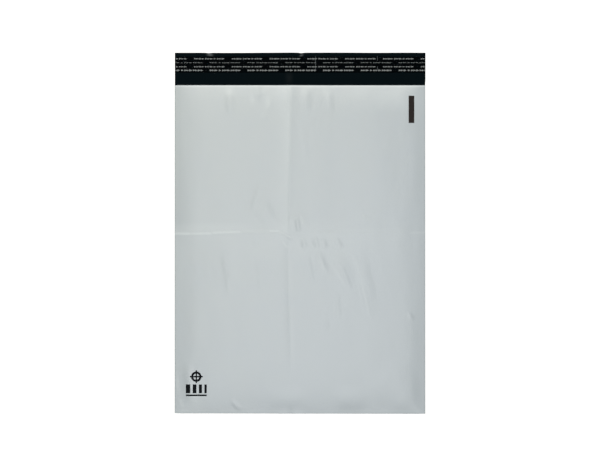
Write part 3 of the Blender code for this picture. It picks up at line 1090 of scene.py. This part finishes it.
# %% Release liner
LINER_DEPTH = 0.04 * MM
LINER_TINT = "#020609"
KINK_HEIGHT = 0.3 * MM
KINK_REACH = 1.2 * MM
KINKS_X = (22.7 * MM, 113.9 * MM)
POLYPROPYLENE_IOR = 1.49
WAVINESS_MM = 9.0
WAVINESS_RELIEF = 0.05 * MM
LINER_ROUGHNESS = 0.22
LINER_SPECULAR = 0.01
LINER_ALPHA = 0.5

release_film, shader = new_material("siliconised_polypropylene")
waviness = noise_texture(release_film, object_place(release_film), 1000 / WAVINESS_MM, detail=1.0)
feed(release_film, shader, {
    "Base Color": linear(LINER_TINT),
    "Roughness": LINER_ROUGHNESS,
    "IOR": POLYPROPYLENE_IOR,
    "Specular IOR Level": LINER_SPECULAR,
    "Alpha": LINER_ALPHA,
    "Normal": bump_normal(release_film, waviness, WAVINESS_RELIEF, strength=0.3),
})


def liner_seat(x, y):
    """The height at which the liner lies, with its kinks."""
    kinks = sum(KINK_HEIGHT * ridge(x - kink_x, KINK_REACH) for kink_x in KINKS_X)
    return lip_seat(x, y) + GLUE_DEPTH + SEAT_GAP + kinks


liner_shape = bar(liner_low.x, liner_high.x, liner_low.y, liner_high.y)
liner_patch = draped_patch(liner_shape, 420, 8, liner_seat, 0, LINER_DEPTH)
liner = print_piece("liner_film", [liner_patch], release_film)
print(f"liner {(liner_high.y - liner_low.y) / MM:.1f} mm wide")

# %% [markdown]
# Each kink gets a hair-fine pale line of its own, a painted glint where the kink catches the light. The
# second one has lost contact with the adhesive only in places, and its glint shows as two short
# stretches. The painted glint is as dull as ink, so it uses the same kind of material.

# %% Painted glints on the kinks
KINK_LINE_WIDTH = 0.5 * MM
# The colour of the painted glints on the kinks.
KINK_GLINT_WHITE = "#5E6365"
# The kink's place across the lip, and how far from its edge the stretch begins and ends, in millimetres.
KINK_STRETCHES = [
    (22.7, 4.2, 26.0),
    (113.9, 4.2, 10.4),
    (113.9, 19.0, 23.6),
]

kink_glint = ink_material("polypropylene_kink_glint", KINK_GLINT_WHITE)
kink_patches = []
for kink_x, from_edge, to_edge in KINK_STRETCHES:
    line = bar(
        kink_x * MM - KINK_LINE_WIDTH / 2,
        kink_x * MM + KINK_LINE_WIDTH / 2,
        LIP_EDGE_Y - to_edge * MM,
        LIP_EDGE_Y - from_edge * MM,
    )
    kink_patches.append(draped_patch(line, 2, 12, liner_seat, LINER_DEPTH + INK_LIFT, INK_DEPTH))
liner_kink_glints = print_piece("liner_kink_glints", kink_patches, kink_glint)
print(len(kink_patches), "whitened stretches")

# %% [markdown]
# ### Marks on the liner
#
# Four rows of fine pale marks run along the liner, so that it can be told from the bag. They are drawn as
# groups of plain ticks of uneven height. A group is described by where it starts and ends within one
# repeat of the pattern, and each row by its distance from the lip's edge, where a repeat starts, its
# groups, and how wide and tall its ticks are. All of these are in millimetres.

# %% Tick marks
PATTERN_PERIOD = 55.6
TICK_PITCH = 1.15
TICK_RHYTHM = [1.3, 1.0, 0.45, 1.3, 0.8, 0.3, 1.2]
OUTER_GROUPS = [(0.0, 14.4), (16.2, 27.2), (28.8, 32.0), (33.6, 45.2)]
INNER_GROUPS = [(0.0, 11.6), (13.4, 16.6), (18.2, 29.2), (30.8, 45.2)]
TICK_WHITE = "#A2A7A7"
TICK_ROWS = [
    (7.86, -44.4, OUTER_GROUPS, 0.58, 1.5),
    (13.6, -21.4, INNER_GROUPS, 0.38, 1.0),
    (19.6, -44.4, OUTER_GROUPS, 0.52, 1.4),
    (24.93, -21.4, INNER_GROUPS, 0.62, 1.8),
]


def tick_boxes():
    """The low and high corners of each tick, in metres."""
    half_width = HALF_WIDTH / MM
    for from_edge, pattern_start, groups, wide, tall in TICK_ROWS:
        y = LIP_EDGE_Y - from_edge * MM
        first = -math.ceil((half_width + pattern_start) / PATTERN_PERIOD)
        last = math.ceil((half_width - pattern_start) / PATTERN_PERIOD)
        for repeat in range(first, last):
            for start, end in groups:
                for tick in range(round((end - start) / TICK_PITCH)):
                    x = pattern_start + repeat * PATTERN_PERIOD + start + tick * TICK_PITCH
                    reach = TICK_RHYTHM[tick % len(TICK_RHYTHM)] * tall / 2 * MM
                    if -half_width < x < half_width - wide:
                        yield x * MM, (x + wide) * MM, y - reach, y + reach


tick_white = ink_material("liner_ink_white", TICK_WHITE)
tick_patches = []
for corners in tick_boxes():
    tick_patches.append(draped_patch(bar(*corners), 1, 1, liner_seat, LINER_DEPTH + INK_LIFT, INK_DEPTH))
liner_marks = print_piece("liner_marks", tick_patches, tick_white)
print(len(tick_patches), "ticks")

# %% [markdown]
# ## Hand the pieces to the frame
#
# The bag has no moving parts, so every piece rides on its one body. The three new films stand for the
# three imported solids, which are hidden but still there for the physics. The film and the liner are
# sheets.

# %% Ride and replace
for piece in (film, bead_left, bead_right, eye_mark, corner_mark, adhesive, liner, liner_kink_glints, liner_marks):
    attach(piece, "root")
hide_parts("film_bag")
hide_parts("adhesive_strip")
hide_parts("release_liner")

# %% [markdown]
# ## The studio
#
# The bag was photographed from straight above on white. The floor is white paper. It adds a little light
# of its own for the camera, and for reflections, so that it comes out white while it still takes the
# bag's soft shadow. Light Path tells which rays those are. The light that falls on the bag isn't among
# them.

# %% Floor
FLOOR_SIZE = 6.0
FLOOR_DROP = 0.05 * MM
PAPER_GLOW = 0.5
PAPER_WHITE = (0.8, 0.8, 0.8, 1.0)


def seen_directly(owner):
    """1 for rays from the camera, from a gloss or through something clear, and 0 for all other light."""
    path = add_node(owner, "ShaderNodeLightPath")
    seen = path.outputs["Is Camera Ray"]
    for ray in ("Is Glossy Ray", "Is Transmission Ray"):
        either = add_node(owner, "ShaderNodeMath", {0: seen, 1: path.outputs[ray]}, operation="MAXIMUM")
        seen = either.outputs["Value"]
    return seen


bpy.ops.mesh.primitive_plane_add(size=FLOOR_SIZE, location=(0, 0, -FLOOR_DROP))
floor = bpy.context.object
floor.name = "floor"
paper = bpy.data.materials.new("studio_paper")
paper.use_nodes = True
paper.node_tree.nodes.clear()
glow = add_node(paper, "ShaderNodeMath", {0: seen_directly(paper), 1: PAPER_GLOW}, operation="MULTIPLY")
matt = add_node(paper, "ShaderNodeBsdfDiffuse", {"Color": PAPER_WHITE})
lit = add_node(paper, "ShaderNodeEmission", {"Strength": glow.outputs["Value"]})
both = add_node(paper, "ShaderNodeAddShader", {0: matt.outputs["BSDF"], 1: lit.outputs["Emission"]})
add_node(paper, "ShaderNodeOutputMaterial", {"Surface": both.outputs["Shader"]})
floor.data.materials.append(paper)
print("floor", FLOOR_SIZE, "m square")

# %% [markdown]
# The world is white all round for the same rays, so that the background is white from every side. For all
# other light it is a weak fill, like the walls of a white room.

# %% World
WORLD_FILL = 0.17

world = bpy.data.worlds.new("studio")
world.use_nodes = True
bpy.context.scene.world = world
sky = world.node_tree.nodes["Background"]
glow = spread(world, seen_directly(world), WORLD_FILL, 1.0)
feed(world, sky, {"Color": (1.0, 1.0, 1.0, 1.0), "Strength": glow})
print("world fill", WORLD_FILL)

# %% [markdown]
# Two softboxes do the rest. The stronger hangs beyond the mouth and to the left, and the weaker almost
# overhead. Their weak reflection lies on the film where it is level and slides off where it rolls down to
# an edge, which is why the borders are darker, while the rim at the mouth turns towards the stronger one
# and is lighter. A lamp's power is worked out from the share of full white that it should give a sheet on
# the table.

# %% Softboxes
def softbox(name, place, aim, size, light_share, tint):
    """An area lamp that lights a white sheet at its aim to this share of full white."""
    lamp = bpy.data.lights.new(name, "AREA")
    lamp.shape = "RECTANGLE"
    lamp.size, lamp.size_y = size
    lamp.color = tint
    made = put_in_scene(name, lamp)
    made.location = place
    reach = Vector(aim) - Vector(place)
    made.rotation_euler = reach.to_track_quat("-Z", "Y").to_euler()
    made.visible_camera = False
    height_share = abs(reach.normalized().z)
    lamp.energy = light_share * math.pi**2 * reach.length_squared / height_share
    return made


beyond = softbox(
    "softbox_beyond",
    place=(-0.34, 1.55, 2.74),
    aim=(-0.34, 0.46, 0.0),
    size=(1.43, 1.72),
    light_share=0.60,
    tint=(1.0, 0.98, 0.91),
)
overhead = softbox(
    "softbox_overhead",
    place=(0.0, -0.41, 3.5),
    aim=(0.0, -0.12, 0.0),
    size=(1.55, 1.55),
    light_share=0.23,
    tint=(0.97, 0.99, 1.0),
)
print("lamp power in watts:", round(beyond.data.energy, 1), round(overhead.data.energy, 1))

# %% [markdown]
# ## The camera
#
# The photograph is taken from straight above with a long lens. Its frame is 600 by 450 pixels, and the
# bag is 250.3 of them wide, which sets the width of the table that it covers. A new camera looks straight
# down already.

# %% Camera
PHOTO_WIDTH = 600
BAG_PIXELS = 250.3
CAMERA_HEIGHT = 2.2
VIEW_CENTRE_Y = 12.3 * MM
SENSOR = 36.0

frame_width = 2 * HALF_WIDTH * PHOTO_WIDTH / BAG_PIXELS
camera = put_in_scene("camera", bpy.data.cameras.new("camera"))
camera.location = (0.0, VIEW_CENTRE_Y, CAMERA_HEIGHT)
camera.data.sensor_width = SENSOR
camera.data.lens = SENSOR * CAMERA_HEIGHT / frame_width
bpy.context.scene.camera = camera
bpy.context.scene.view_settings.view_transform = "Standard"
print(f"the camera covers {frame_width / MM:.0f} mm, with a {camera.data.lens:.0f} mm lens")
